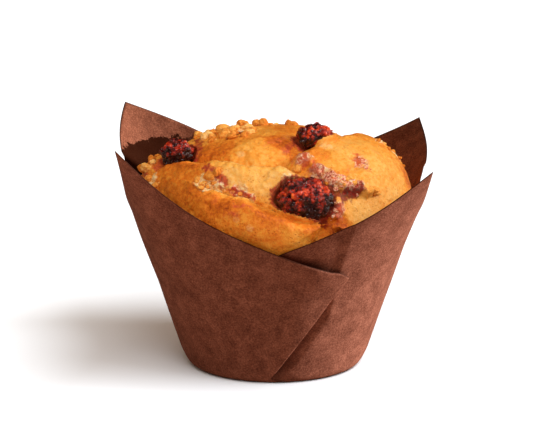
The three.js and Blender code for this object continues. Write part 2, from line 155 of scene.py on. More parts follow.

# Berries. Below the picture line of its lap the crust covers a berry. Shadow and glow are places of painted
# shade and painted light on it, with their reach, and a dent also has its depth.
BERRIES = [
    dict(name="berry_front", at=(8.2, -33.4, 54.6), half=(8.4, 6.2, 6.8), seed=3,
         lap=[(262, 199), (279, 209), (303, 216), (320, 220), (332, 226)],
         shadow=[((10.5, -38.5, 50.0), 4.4), ((15.5, -35.5, 53.0), 2.6), ((4.5, -38.5, 50.0), 3.0),
                 ((9.0, -38.6, 54.5), 1.3)],
         glow=[((5.2, -38.0, 56.6), 2.4), ((13.4, -37.2, 57.2), 2.4), ((2.0, -35.5, 58.0), 1.4)],
         dents=[((9.0, -39.0, 57.5), 1.6, 0.8), ((2.0, -37.0, 59.0), 2.2, 0.7),
                ((14.5, -37.5, 58.0), 1.8, 0.6), ((4.0, -39.0, 50.5), 3.0, 0.6)]),
    dict(name="berry_left", at=(-27.6, -7.5, 62.6), half=(5.6, 6.0, 4.8), seed=11,
         lap=[(160, 166), (174, 166), (194, 165), (206, 167)],
         shadow=[((-26.5, -13.0, 60.0), 3.6), ((-31.5, -11.5, 61.0), 2.4), ((-24.0, -11.0, 62.5), 1.6)],
         glow=[((-27.0, -11.5, 65.5), 1.6), ((-24.5, -9.0, 66.0), 1.6)],
         dents=[((-31.0, -8.0, 66.5), 2.8, 1.7), ((-27.8, -10.5, 66.0), 1.3, 0.9),
                ((-33.0, -9.0, 62.0), 1.2, 0.5)]),
    dict(name="berry_top", at=(11.3, -9.6, 67.8), half=(6.0, 5.4, 4.0), seed=23,
         lap=[(296, 166), (306, 156), (313, 146), (318, 140), (325, 136), (338, 132)],
         shadow=[((7.0, -12.5, 67.0), 2.0)],
         glow=[((14.0, -12.5, 70.5), 4.2), ((9.5, -12.5, 71.0), 3.4)],
         dents=[((14.0, -13.0, 71.0), 1.2, 0.4)]),
]
POCKET_ROOM = 0.1  # from a berry's outline to its hollow in the crust
POCKET_FLOOR = 0.5  # how far the hollow's floor lies below the berry
LAP = 0.35  # thickness of the crust over a berry's lower front
LAP_DEPTH = 1.7  # how deep the hollow is beside that lap

# Crumble: strips of crumbs along a path, with their spread and smallest and largest size.
CRUMBLE = [
    dict(path=[(-24, 3, 66), (-15, -4, 69), (-8, -6, 69.7)], count=14, spread=3.0, size=(1.1, 2.0)),
    dict(path=[(-36, -2, 56), (-34, -6, 60)], count=5, spread=3.0, size=(1.0, 1.9)),
    dict(path=[(-35, -16, 52), (-33, -20, 53)], count=3, spread=1.5, size=(1.3, 2.0)),
    dict(path=[(4, -26, 64.6), (14, -28, 61.6), (22, -26.6, 58), (26, -25, 55.5)],
         count=8, spread=1.8, size=(1.0, 1.7)),
    dict(path=[(-21, -27, 58), (-16, -29, 60)], count=4, spread=2.0, size=(1.0, 1.6)),
    dict(path=[(-12, 20, 63), (4, 14, 67)], count=6, spread=5.0, size=(1.2, 2.0)),
]
CRUMBLE_SEED = 41
PASSED_OVER = 12  # random numbers that each crumb of a strip leaves unused
GRAINS = 3  # small grains that lie round each chunk

DRUPELET_TRIES = 1500
DRUPELET_SIZE = (0.65, 1.25)
DRUPELET_SPACING = 0.62  # share of two sizes that their middles keep apart
DRUPELET_HEIGHT = 0.62  # how high they stand, as a share of a ball
TINT_STEP = 0.618  # spreads the drupelets' tints evenly

# How fine the nets are, and how much the crust's is crowded towards the top.
CRUST_FREQUENCY = 98
CRUST_CROWDING = 0.58
BERRY_FREQUENCY = 48


# Small mathematics.

def smooth(low, high, x):
    t = np.clip((x - low) / (high - low), 0.0, 1.0)
    return t * t * (3.0 - 2.0 * t)


def mix(a, b, t):
    return a + (b - a) * t


def unit(vectors):
    return vectors / np.maximum(np.linalg.norm(vectors, axis=-1, keepdims=True), 1e-9)


def angle_between(a, b):
    return (a - b + 180.0) % 360.0 - 180.0


def polar(angle, radius, z):
    turn = np.radians(angle)
    return np.stack([radius * np.sin(turn), -radius * np.cos(turn), z + np.zeros_like(radius * turn)], -1)


def angle_of(points):
    return np.degrees(np.arctan2(points[..., 0], -points[..., 1]))


def seeded(seed):
    state = seed
    while True:
        state = (state * 1664525 + 1013904223) % 4294967296
        yield state / 4294967296


_random = np.random.default_rng(7)
ORDER = _random.permutation(256)
LATTICE = unit(_random.normal(size=(256, 3)))
JITTER = _random.random((256, 3))


def lattice_index(cell, seed):
    x, y, z = ((cell + seed * 31) & 255).T
    return ORDER[(ORDER[(ORDER[x] + y) & 255] + z) & 255]


def noise(points, size, seed):
    """Smooth noise from about -1 to 1 with features of the given size in mm."""
    scaled = points / size
    cell = np.floor(scaled).astype(int)
    part = scaled - cell
    ease = part ** 3 * (part * (part * 6.0 - 15.0) + 10.0)
    total = np.zeros(len(points))
    for corner in itertools.product((0, 1), repeat=3):
        corner = np.array(corner)
        slope = LATTICE[lattice_index(cell + corner, seed)]
        weight = np.where(corner == 1, ease, 1.0 - ease).prod(1)
        total += weight * ((part - corner) * slope).sum(1)
    return total * 1.7


def noises(points, *layers):
    """A sum of noises, each of a size, a seed and a weight."""
    return sum(noise(points, size, seed) * weight for size, seed, weight in layers)


def noise_vector(points, size, seed):
    return np.stack([noise(points, size, seed + k) for k in range(3)], -1)


def cells(points, size, seed):
    """Distance to the nearest scattered point, in cell sizes, and that point's random number."""
    scaled = points / size
    cell = np.floor(scaled).astype(int)
    nearest = np.full(len(points), 9.0)
    number = np.zeros(len(points))
    for offset in itertools.product((-1, 0, 1), repeat=3):
        there = cell + np.array(offset)
        index = lattice_index(there, seed)
        distance = np.linalg.norm(there + JITTER[index] - scaled, axis=1)
        number = np.where(distance < nearest, JITTER[index, 0], number)
        nearest = np.minimum(nearest, distance)
    return nearest, number


def distance_to(points, place):
    return np.linalg.norm(points - np.asarray(place), axis=1)


def bell(points, place, width):
    return np.exp(-(distance_to(points, place) / width) ** 2)


def geodesic(frequency):
    """Unit directions and faces of an even triangle net on a ball."""
    golden = (1.0 + math.sqrt(5.0)) / 2.0
    corners = []
    for a, b in itertools.product((-1.0, 1.0), (-golden, golden)):
        corners += [(0.0, a, b), (a, b, 0.0), (b, 0.0, a)]
    corners = unit(np.array(corners))
    edge = min(np.linalg.norm(corners[0] - other) for other in corners[1:]) * 1.05
    points, faces = [], []
    for trio in itertools.combinations(range(12), 3):
        a, b, c = corners[list(trio)]
        if max(np.linalg.norm(a - b), np.linalg.norm(b - c), np.linalg.norm(c - a)) > edge:
            continue
        if np.dot(np.cross(b - a, c - a), a) < 0:
            b, c = c, b
        first = len(points)
        index = {}
        for i in range(frequency + 1):
            for j in range(frequency + 1 - i):
                index[i, j] = first + len(index)
                points.append(a + (b - a) * (i / frequency) + (c - a) * (j / frequency))
        for i in range(frequency):
            for j in range(frequency - i):
                faces.append((index[i, j], index[i + 1, j], index[i, j + 1]))
                if i + j < frequency - 1:
                    faces.append((index[i + 1, j], index[i + 1, j + 1], index[i, j + 1]))
    points = unit(np.array(points))
    _, keep, back = np.unique(np.round(points, 5), axis=0, return_index=True, return_inverse=True)
    return points[keep], back.reshape(-1)[np.array(faces)]


def near_path(points, path):
    """Distance to a path, place along it from 0 to 1, offset from it and its direction there."""
    best = np.full(len(points), 1e9)
    place = np.zeros(len(points))
    offset = np.zeros((len(points), 3))
    run = np.zeros((len(points), 3))
    for i in range(len(path) - 1):
        a, b = path[i], path[i + 1]
        step = b - a
        t = np.clip((points - a) @ step / max(step @ step, 1e-12), 0.0, 1.0)
        away = points - (a + t[:, None] * step)
        distance = np.linalg.norm(away, axis=1)
        nearer = distance < best
        best = np.where(nearer, distance, best)
        place = np.where(nearer, (i + t) / (len(path) - 1), place)
        offset = np.where(nearer[:, None], away, offset)
        run = np.where(nearer[:, None], step, run)
    return best, place, offset, run


# The case's outer face, without its pleats.

def wall_radius(angle, z):
    radius = FOOT_RADIUS + WALL_SLOPE * z
    for peak in PEAKS.values():
        turn = angle_between(angle, peak["at"])
        away = np.abs(turn) / np.where(turn < 0, *peak["spread"])
        flare = peak["reach"] - FOOT_RADIUS - WALL_SLOPE * peak["tip"]
        lean = np.clip(z / peak["tip"], 0.0, 1.2) ** 3
        radius = radius + flare * lean * np.clip(1.0 - away * away, 0.0, 1.0) ** 2.5
    return radius


def edge_height(peak, angle):
    turn = angle_between(angle, peak["at"])
    along = np.minimum(np.abs(turn) / EDGE_ANGLE, 1.0)
    height = 0.0
    for side, (spike, width, end) in zip((turn < 0, turn >= 0), peak["edges"]):
        fall = (1.0 - spike) * (1.0 - along) + spike * np.exp(-along / width)
        height = height + side * (end + (peak["tip"] - end) * fall)
    return height


def rim_height(angle):
    return np.max([edge_height(peak, angle) for peak in PEAKS.values()], axis=0)


WALL_TURN = math.pi / 2 - math.atan(WALL_SLOPE)
FLAT_RADIUS = FOOT_RADIUS - FOOT_ROUND * math.tan(WALL_TURN / 2)
LEVEL_THICKNESS = math.hypot(1.0, WALL_SLOPE)


def begun(z):
    """How far a pleat has begun, from 0 at the foot to 1."""
    return smooth(0.4, 1.8, z)


def parted(z):
    """How far the layers of a pleat have parted, from 0 at the foot to 1."""
    return smooth(0.8, 5.0, z)


def fold_run(pleat, z):
    """How far past its crossing a pleat's fold lies."""
    return (pleat["start"] + pleat["lean"] * z) * begun(z)


def hidden_run(pleat, z):
    """How far before its crossing the hidden fold of a pleat lies."""
    return (pleat["hide"] + HIDDEN_LEAN * z) * begun(z)


def above_flap(across, z):
    """How far above the front flap's free edge a point of the panel under it lies."""
    return z - (FLAP_EDGE - FLAP_DESCENT * across)


def under_offset(pleat, across, z):
    """The middle of the lower layer, from the wall's outer face; across is mm past the crossing."""
    deep = -SHEET / 2 - mix(0.5, pleat["dip"], smooth(0.0, 6.0, z) * (1.0 - smooth(26.0, 34.0, z)))
    away = across - fold_run(pleat, z)
    sunk = mix(-SHEET / 2, deep, 1.0 - smooth(0.0, DIP_RUN * smooth(0.0, 9.0, z) + 0.8, away))
    beside = smooth(-4.0, 3.0, across) * (1.0 - smooth(9.0, 17.0, across))
    above = above_flap(across, z)
    sunk = sunk - pleat["pocket"] * beside * smooth(-7.0, -2.0, above) * (1.0 - smooth(0.0, 7.0, above))
    return mix(-SHEET / 2, sunk, parted(z))


def pleat_depth(angle, z):
    """How far the pleats push the crumb in."""
    depth = np.zeros_like(z)
    for pleat in PLEATS:
        radius = wall_radius(np.full_like(z, pleat["at"]), z)
        across = np.radians(angle_between(angle, pleat["at"])) * pleat["turn"] * radius
        under = -under_offset(pleat, across, z) - SHEET / 2
        before = -hidden_run(pleat, z)
        depth = np.maximum(depth, under * smooth(before - 4.0, before, across))
    return depth


# The muffin's crust.

def plain_reach(directions):
    """Distance from the heart to the plain muffin's face."""
    low = np.zeros(len(directions))
    high = np.full(len(directions), 90.0)
    for _ in range(30):
        middle = (low + high) / 2
        point = HEART + directions * middle[:, None]
        z = point[:, 2]
        radius = np.hypot(point[:, 0], point[:, 1])
        ok = z > PAPER_ROOM
        curve = np.hypot(np.maximum(radius - FLAT_RADIUS, 0.0), np.minimum(z - FOOT_ROUND, 0.0))
        ok &= (z > FOOT_ROUND) | (curve < FOOT_ROUND - PAPER_ROOM)
        ok &= radius < wall_radius(angle_of(point), z) - PAPER_ROOM * LEVEL_THICKNESS
        level = (radius / CRUST["radius"]) ** CRUST["roundness"]
        upright = (np.maximum(z - CRUST["shoulder"], 0.0) / CRUST["rise"]) ** CRUST["crown"]
        ok &= level + upright < 1.0
        low = np.where(ok, middle, low)
        high = np.where(ok, high, middle)
    return low


def direction_of(points):
    return unit(np.asarray(points, float) - HEART)


def swell(directions):
    height = np.zeros(len(directions))
    for at, width, rise in SWELLINGS:
        height += rise * bell(directions, direction_of(at), width / CRUST_SPAN)
    return height


def crack_relief(directions):
    """Height of the cracks and their lobes, how deep in a crack each direction is, and how near a lip."""
    height = np.zeros(len(directions))
    inside = np.zeros(len(directions))
    lip = np.zeros(len(directions))
    for crack in CRACKS:
        path = direction_of(crack["path"])
        distance, place, offset, run = near_path(directions, path)
        distance = distance * CRUST_SPAN
        above = np.einsum("ij,ij->i", np.cross(run, offset), directions) > 0
        ends = 0.3 + 0.7 * np.sqrt(np.maximum(np.sin(np.pi * place), 0.0))
        width = np.where(above, crack["widths"][1], crack["widths"][0])
        groove = np.exp(-distance / width)
        height -= crack["depth"] * ends * groove
        step = np.where(above, crack["steps"][1], crack["steps"][0])
        height += step * ends * np.exp(-(distance / LOBE_REACH) ** 2)
        ridge = np.where(above, crack["lips"][1], crack["lips"][0])
        near_lip = ends * np.exp(-((distance - LIP_AT) / LIP_WIDTH) ** 2)
        height += ridge * near_lip
        inside = np.maximum(inside, ends * groove)
        lip = np.maximum(lip, near_lip * (ridge > 0.35))
    return height, inside, lip


def placed(directions, reach, relief):
    """Crust points: relief where the crust is free, and never through the paper."""
    point = HEART + directions * reach[:, None]
    open_part = smooth(*FREE_HEIGHTS, point[:, 2])
    point = HEART + directions * (reach + relief * open_part)[:, None]
    angle = angle_of(point)
    z = point[:, 2]
    room = (PAPER_ROOM + pleat_depth(angle, z)) * LEVEL_THICKNESS
    limit = wall_radius(angle, z) - room + RIM_SPILL * np.maximum(z - rim_height(angle) + 1.0, 0.0)
    radius = np.hypot(point[:, 0], point[:, 1])
    spare = limit / np.maximum(radius, 1e-6) - 1.0
    pull = 1.0 + (spare - np.hypot(spare, SOFT_LIMIT)) / 2
    point[:, 0] *= pull
    point[:, 1] *= pull
    return point


# The camera, and what it sees on the crust: marks are given by their place in the picture.
_down = math.radians(CAMERA_DOWN)
LOOK = np.array([0.0, math.cos(_down), -math.sin(_down)])
UPRIGHT = np.array([0.0, math.sin(_down), math.cos(_down)])
_net, _net_faces = geodesic(ROUGH_FREQUENCY)
_net = unit(_net + np.array([0.0, 0.0, CRUST_CROWDING]))
_rough = placed(_net, plain_reach(_net), crack_relief(_net)[0] + swell(_net))
CRUST_TREE = BVHTree.FromPolygons(_rough.tolist(), _net_faces.tolist())


def seen(x, y):
    """The crust's point at a place in the picture."""
    ray = LOOK + np.array([1.0, 0.0, 0.0]) * (x - PICTURE[0] / 2) / LENS_PIXELS
    ray = ray + UPRIGHT * (PICTURE[1] / 2 - y) / LENS_PIXELS
    for lower in range(0, 40):
        hit = CRUST_TREE.ray_cast(Vector(CAMERA_AT), Vector(ray - UPRIGHT * lower / LENS_PIXELS))[0]
        if hit is not None:
            return np.array(hit)
    raise ValueError(f"no crust near {x}, {y}")


def in_picture(points):
    """Where points show in the picture."""
    away = points - CAMERA_AT
    depth = away @ LOOK / LENS_PIXELS
    return PICTURE[0] / 2 + away[:, 0] / depth, PICTURE[1] / 2 - away @ UPRIGHT / depth


# Marks on the crust. Each tone is a place, its reach in mm and how baked it is, 0 pale to 1 brown.
TONES = {
    "front roll, left": (185, 195, 5, 0.62),
    "front roll, upper": (215, 215, 5, 0.64),
    "front roll, middle": (270, 225, 4, 0.58),
    "front roll, low": (252, 240, 4, 0.56),
    "front roll, pale patch": (297, 232, 3, 0.4),
    "front roll, right end": (316, 228, 2, 0.6),
    "roll rim": (290, 217, 1.6, 0.8),
    "left lobe, face": (172, 178, 4, 0.64),
    "left lobe, upper edge": (170, 163, 2, 0.76),
    "left lobe, top": (235, 172, 5, 0.2),
    "left lobe, right of top": (272, 172, 4, 0.16),
    "left lobe, rim": (220, 161, 1.2, 0.6),
    "left lobe, rim's left": (195, 162, 1.4, 0.74),
    "back band": (213, 153, 3, 0.72),
    "back band, right": (258, 149, 3, 0.42),
    "back lobe": (292, 130, 4, 0.6),
    "back lobe, left": (255, 131, 4, 0.45),
    "orange spot": (277, 141, 2, 0.74),
    "right lobe, top": (350, 145, 5, 0.34),
    "right lobe, left rim": (295, 149, 1.8, 0.68),
    "right lobe, left rim's top": (318, 138, 1.8, 0.62),
    "right lobe, middle": (318, 157, 3, 0.52),
    "right lobe, swell": (336, 166, 3, 0.36),
    "right lobe, right": (385, 175, 5, 0.32),
    "right lobe, low": (362, 205, 4, 0.3),
    "right lobe, lower left": (340, 226, 3, 0.82),
    # painted shade: darker where the crust lies in the paper's shadow, not a browner bake
    "right lobe, right rim": (407, 178, 2, 0.66),
    "right lobe, back": (372, 138, 3, 0.5),
    "left apron": (147, 163, 3, 0.55),
}
PLAIN_TONE = 0.48
PLAIN_WEIGHT = 0.02  # of that tone, where no other is near
SOAKED_DARK = 0.62  # how dark the juice round a berry is

# Strokes of berry juice: places, width in mm, strength and how dark.
STAINS = {
    "torn streak": ([(205, 167), (213, 171), (225, 181), (228, 187)], 1.2, 1.0, 0.5),
    "split streak": ([(222, 188), (236, 192), (250, 197), (257, 201)], 0.8, 0.9, 0.45),
    "apron smear": ([(157, 166), (166, 152)], 1.8, 0.75, 0.4),
    "apron foot": ([(143, 174), (150, 178)], 1.0, 0.8, 0.5),
    "back stain": ([(228, 138), (236, 134), (243, 132)], 1.1, 1.0, 0.8),
    "far stain": ([(257, 126), (268, 122)], 1.1, 0.9, 0.6),
    "spot on roll": ([(234, 206), (248, 206)], 0.9, 0.75, 0.3),
    "lower spot on roll": ([(225, 216), (237, 214)], 1.0, 0.75, 0.4),
    "orange spot": ([(268, 144), (287, 136)], 1.5, 0.6, 0.15),
    "left rim spot": ([(299, 148), (303, 147)], 0.8, 0.9, 0.4),
    "ridge head": ([(297, 158), (304, 163), (312, 170)], 2.0, 0.75, 0.3),
    "ridge": ([(318, 175), (332, 184), (346, 189)], 1.6, 0.3, 0.3),
    "under ridge": ([(328, 190), (342, 196), (354, 193)], 1.7, 1.0, 0.8),
    "crack crumbs": ([(355, 156), (360, 164), (367, 170)], 1.1, 0.7, 0.2),
    "right specks": ([(348, 168), (352, 171)], 0.7, 0.6, 0.2),
    "far specks": ([(374, 152), (380, 156)], 0.8, 0.5, 0.2),
    "roll rim": ([(284, 213), (300, 217), (318, 222), (326, 225)], 1.1, 1.0, 0.7),
    "berry's right wall": ([(338, 197), (341, 206), (338, 216)], 1.3, 0.8, 0.35),
    "berry's left wall": ([(266, 203), (272, 190), (284, 182)], 0.9, 0.35, 0.3),
    "left berry's foot": ([(197, 140), (200, 150), (197, 158), (176, 159)], 1.2, 0.8, 0.62),
    "top berry's foot": ([(286, 150), (291, 143), (296, 137)], 1.3, 0.75, 0.5),
}

# Torn ridges of crumb that stand up: places, width and height in mm.
RIDGES = {
    "ridge": ([(300, 160), (309, 164), (319, 172), (331, 179), (343, 184), (356, 186), (366, 191)], 1.8, 2.2),
    "berry's right wall": ([(337, 199), (338, 208), (334, 216)], 1.3, 1.0),
    "split": ([(219, 187), (231, 191), (243, 195), (253, 199)], 1.3, 0.7),
    "torn patch": ([(200, 186), (208, 183)], 2.0, 0.8),
}

# Places where the crust is torn open and shows its crumb: place, reach in mm and strength.
TORN = {
    "torn patch": (206, 184, 2.7, 1.0),
    "torn patch, upper": (213, 175, 1.6, 0.8),
    "torn patch, right": (220, 186, 2.0, 0.9),
    "split": (241, 193, 2.4, 0.9),
    "split end": (252, 198, 1.4, 0.8),
    "back band end": (241, 154, 1.5, 0.45),
    "above the berry": (290, 178, 2.2, 0.7),
    "ridge head": (303, 160, 2.2, 1.0),
    "ridge": (318, 172, 2.2, 1.0),
    "ridge chunks": (333, 181, 2.4, 1.0),
    "ridge foot": (350, 187, 2.2, 1.0),
    "crack crumbs": (361, 164, 2.0, 0.9),
    "berry's right wall": (337, 208, 2.2, 1.0),
    "right lobe, pitted top": (326, 145, 2.4, 0.5),
    "far right edge": (396, 154, 2.2, 0.6),
    "back right edge": (380, 139, 1.8, 0.8),
    "left apron": (146, 158, 2.6, 0.5),
    "pale piece": (151, 182, 2.4, 0.9),
    "spot on roll": (250, 228, 1.4, 0.42),
    "lower spot on roll": (236, 220, 1.2, 0.4),
    "back lobe crumbs": (232, 131, 4.0, 0.8),
}


# Places where the torn crumb is pink with juice: place and reach in mm.
PINK = {
    "ridge head": (302, 161, 3.0),
    "ridge, left": (315, 170, 3.0),
    "ridge, middle": (331, 180, 3.2),
    "ridge, right": (350, 187, 3.4),
    "ridge end": (364, 192, 2.2),
    "crack": (361, 164, 2.6),
    "berry's right wall": (337, 208, 3.0),
    "split": (232, 192, 2.6),
    "split end": (249, 198, 2.2),
    "torn streak": (222, 180, 1.8),
    "roll rim": (304, 218, 2.0),
}

# Pieces of crumb that stand up on the crust: places and size in mm.
CHUNKS = {
    "back lobe": [(206, 138, 1.5), (200, 135, 0.9), (196, 133, 0.8), (211, 141, 0.8), (223, 130, 1.7),
                  (229, 133, 0.9), (236, 129, 1.5), (247, 128, 1.6), (253, 130, 1.2), (270, 123, 0.9),
                  (276, 121, 0.8), (262, 125, 0.6)],
    "torn patch": [(204, 184, 1.2), (201, 188, 0.9), (208, 187, 1.0), (211, 179, 0.9), (214, 184, 0.8)],
    "split": [(225, 190, 0.9), (233, 192, 0.9), (240, 194, 0.8), (247, 196, 0.6)],
    "ridge": [(301, 158, 1.2), (309, 159, 1.3), (306, 163, 1.0), (315, 167, 1.2), (322, 173, 1.6),
              (330, 177, 1.8), (327, 171, 1.0), (339, 179, 1.9), (342, 185, 1.5), (350, 185, 1.2),
              (356, 184, 1.0), (363, 192, 1.3), (368, 189, 0.8)],
    "crack": [(359, 158, 0.7), (361, 166, 0.9), (366, 168, 0.8)],
    "berry wall": [(336, 203, 0.8), (336, 210, 1.0), (333, 216, 0.8)],
    "pale piece": [(151, 179, 1.3), (156, 186, 1.2), (148, 177, 0.8)],
    "apron": [(146, 158, 1.0), (152, 155, 0.9), (157, 152, 0.7), (141, 162, 0.8), (149, 163, 0.7)],
    "far edge": [(378, 139, 0.9), (383, 142, 0.8), (388, 149, 0.8), (393, 152, 0.9), (398, 156, 0.8),
                 (403, 163, 0.6)],
}
CHUNK_PINK = {"ridge": 0.85, "crack": 0.7, "berry wall": 0.8, "split": 0.5}


def grain_relief(skin, warp, torn):
    """The crust's own lumps and pits, and the crumb where it is torn."""
    lumps = noises(skin, (13.0, 1, 0.45), (5.5, 2, 0.26), (2.4, 3, 0.15), (1.1, 9, 0.07))
    distance, chance = cells(skin, 2.2, 4)
    pits = 0.35 * np.clip(1.0 - distance / 0.32, 0.0, 1.0) ** 0.7 * (chance > 0.5)
    distance, chance = cells(skin + warp, 1.9, 5)
    grains = 0.8 * np.clip(1.0 - (distance / 0.85) ** 2, 0.0, 1.0) * chance
    grains += 0.5 * noise(skin, 1.3, 12) - 0.35
    distance, _ = cells(skin + warp, 0.9, 6)
    grains += 0.25 * np.clip(1.0 - (distance / 0.75) ** 2, 0.0, 1.0) + 0.18 * noise(skin, 0.7, 13)
    return lumps - pits * (1.0 - torn) + torn * grains


def through_berry(berry, directions):
    """Which directions meet a berry's hollow, where they enter and leave it, and how near others pass."""
    half = np.array(berry["half"]) + POCKET_ROOM
    start = (HEART - np.array(berry["at"])) / half
    ray = directions / half
    a = (ray * ray).sum(1)
    b = ray @ start
    inner = b * b - a * (start @ start - 1.0)
    meets = inner > 0
    root = np.sqrt(np.maximum(inner, 0.0))
    enter = np.where(meets, (-b - root) / a, 1e9)
    leave = np.where(meets, (-b + root) / a, 0.0)
    near = np.clip(1.0 - np.sqrt(np.maximum(-inner, 0.0) / (b * b)) * 3.0, 0.0, 1.0)
    return meets, enter, leave, near


def crust():
    """The muffin's points, faces and the marks that its material reads."""
    net, faces = geodesic(CRUST_FREQUENCY)
    directions = unit(net + np.array([0.0, 0.0, CRUST_CROWDING]))
    reach = plain_reach(directions)
    skin = HEART + directions * reach[:, None]
    warp = noise_vector(skin, 7.0, 10) * 1.1 + noise_vector(skin, 2.2, 20) * 0.45
    cracks, inside, lip = crack_relief(unit(directions + warp / CRUST_SPAN))
    relief = cracks + swell(directions)
    skin = placed(directions, reach, relief)
    free = smooth(*MARK_HEIGHTS, skin[:, 2])

    tone_sum = np.full(len(skin), PLAIN_WEIGHT)
    tone = tone_sum * PLAIN_TONE
    for x, y, size, baked in TONES.values():
        weight = bell(skin, seen(x, y), size)
        tone += weight * baked
        tone_sum += weight
    tone /= tone_sum

    ragged = noises(skin, (3.0, 31, 0.5), (1.3, 32, 0.55), (0.7, 33, 0.4))
    torn, pink, stain, dark = np.zeros((4, len(skin)))
    for x, y, size, strength in TORN.values():
        distance = distance_to(skin, seen(x, y)) / size
        torn = np.maximum(torn, strength * np.clip(1.6 - distance - ragged * 0.5, 0.0, 1.0))
    for x, y, size in PINK.values():
        distance = distance_to(skin, seen(x, y)) / size
        pink = np.maximum(pink, np.clip(1.4 - distance - ragged * 0.6, 0.0, 1.0))
    for places, width, strength, depth in STAINS.values():
        distance = near_path(skin, np.array([seen(x, y) for x, y in places]))[0] / width
        mark = strength * np.clip(1.3 - distance * 0.75 - ragged * 0.8, 0.0, 1.0)
        dark = np.where(mark > stain, depth, dark)
        stain = np.maximum(stain, mark)

    relief = relief + grain_relief(skin, warp, torn) + lip * noise(skin, 1.6, 7) * 0.35
    relief = relief - inside * (0.5 + noise(skin, 1.5, 8)) * 0.8
    for places, width, height in RIDGES.values():
        distance = near_path(skin, np.array([seen(x, y) for x, y in places]))[0] / width + ragged * 0.3
        relief += height * (1.0 - smooth(0.5, 1.3, distance)) * (1.0 + 0.5 * noise(skin, 2.0, 14))

    across, down = in_picture(skin)
    for berry in BERRIES:
        meets, enter, leave, near = through_berry(berry, directions)
        lap = leave + LAP
        line_x, line_y = np.array(berry["lap"]).T
        x, y = in_picture(HEART + directions * lap[:, None])
        below = y - np.interp(x, line_x, line_y) + ragged * 0.7
        lapped = meets & (below > 0.0)
        pocket = enter - POCKET_FLOOR
        pocket = mix(pocket, np.maximum(lap - LAP_DEPTH, pocket), smooth(-7.0, -2.5, below))
        half = np.array(berry["half"]) + POCKET_ROOM
        rim = np.linalg.norm((skin - np.array(berry["at"])) / half, axis=1) - 1.0
        soaked = np.where(meets, 1.0, np.clip(1.1 - rim * half.min() / 1.3 - ragged * 0.7, 0.0, 1.0))
        beneath = np.where(meets, below, down - np.interp(across, line_x, line_y))
        soaked = soaked * (1.0 - smooth(-1.0, 3.0, beneath))
        dark = np.where(soaked > stain, SOAKED_DARK, dark)
        stain = np.maximum(stain, soaked)
        beside = relief - 0.4 * near * free * ~meets
        relief = np.where(meets & ~lapped, np.minimum(relief, pocket - reach), beside)
        relief = np.where(lapped, np.maximum(relief, lap - reach), relief)
    marks = dict(torn=torn, pink=pink, stain=stain, dark=dark, inside=inside, lip=lip)
    marks = {name: values * free for name, values in marks.items()}
    return placed(directions, reach, relief), faces, dict(bake=tone, **marks)


# Crumble: pale lumps baked onto the crust.

def lump(net, centre, size, flat, seed):
    """One crumb, with knobs of its own."""
    at = net * size
    distance, _ = cells(at + seed * 7.31, size * 0.75, seed % 97)
    shape = 0.84 + 0.12 * np.clip(1.0 - distance, 0.0, 1.0)
    shape += 0.45 * noise(at + seed * 3.7, size * 1.3, seed % 89)
    shape += 0.13 * noise(at + seed * 1.9, size * 0.45, seed % 83)
    shape = np.clip(shape, 0.45, 1.02)
    stretch = 1.08 + 0.26 * np.array([math.sin(seed * 2.1), math.cos(seed * 3.3), 0.0])
    return centre + at * shape[:, None] * stretch * np.array([1.0, 1.0, flat])


def crust_at(directions):
    reach = plain_reach(directions)
    return placed(directions, reach, crack_relief(directions)[0] + swell(directions))


def clear_of_berries(centre, size):
    for berry in BERRIES:
        scaled = (centre - np.array(berry["at"])) / (np.array(berry["half"]) + size * 1.15 + 0.5)
        if np.linalg.norm(scaled) < 1.0:
            return False
    return True


def crumble():
    """Every crumb of the crumble: points, faces, tint and how pink it is."""
    coarse, fine = geodesic(9), geodesic(4)
    points, faces, tint, pink = [], [], [], []
    count = 0

    def add(net, centre, size, flat, shade, red):
        nonlocal count
        shape = lump(net[0], centre, size, flat, len(points) + 5)
        faces.append(net[1] + count)
        points.append(shape)
        tint.append(np.full(len(shape), shade))
        pink.append(np.full(len(shape), red))
        count += len(shape)

    draw = seeded(CRUMBLE_SEED)
    for band in CRUMBLE:
        path = np.array(band["path"], float)
        for i in range(band["count"]):
            along = (i + next(draw)) / band["count"] * (len(path) - 1)
            step = min(int(along), len(path) - 2)
            place = mix(path[step], path[step + 1], along - step)
            place = place + np.array([(next(draw) - 0.5) * 2 * band["spread"] for _ in range(3)])
            size = mix(*band["size"], next(draw))
            direction = direction_of(place)
            centre = crust_at(direction[None])[0] + direction * size * 0.25
            room = float(wall_radius(angle_of(centre), centre[2])) - CRUMB_ROOM - math.hypot(centre[0], centre[1])
            over = centre[2] > float(rim_height(angle_of(centre))) + size + 1.0
            if clear_of_berries(centre, size) and (room > size * 1.3 + 0.4 or over):
                flat = mix(0.65, 1.0, next(draw))
                for _ in range(PASSED_OVER):
                    next(draw)
                add(coarse, centre, size * 0.95, flat, next(draw), 0.0)
    for name, chunks in CHUNKS.items():
        red = CHUNK_PINK.get(name, 0.0)
        for x, y, size in chunks:
            place = seen(x, y)
            centre = place + direction_of(place) * size * 0.15
            rng = np.random.default_rng(x * 31 + y)
            net = coarse if size > 0.9 else fine
            add(net, centre, size, rng.uniform(0.6, 0.9), rng.random(), red * rng.uniform(0.3, 1.0))
            for _ in range(GRAINS):
                beside = place + rng.normal(size=3) * size * 0.9
                direction = direction_of(beside)
                grain = rng.uniform(0.25, 0.45) * size
                centre = crust_at(direction[None])[0] + direction * grain * 0.15
                if clear_of_berries(centre, grain - 0.9) and name != "far edge":
                    add(fine, centre, grain, rng.uniform(0.6, 1.0), rng.random(), red * rng.random())
    return np.concatenate(points), np.concatenate(faces), np.concatenate(tint), np.concatenate(pink)


# Berries: small crushed drupelets baked together round a soft core, in one skin.

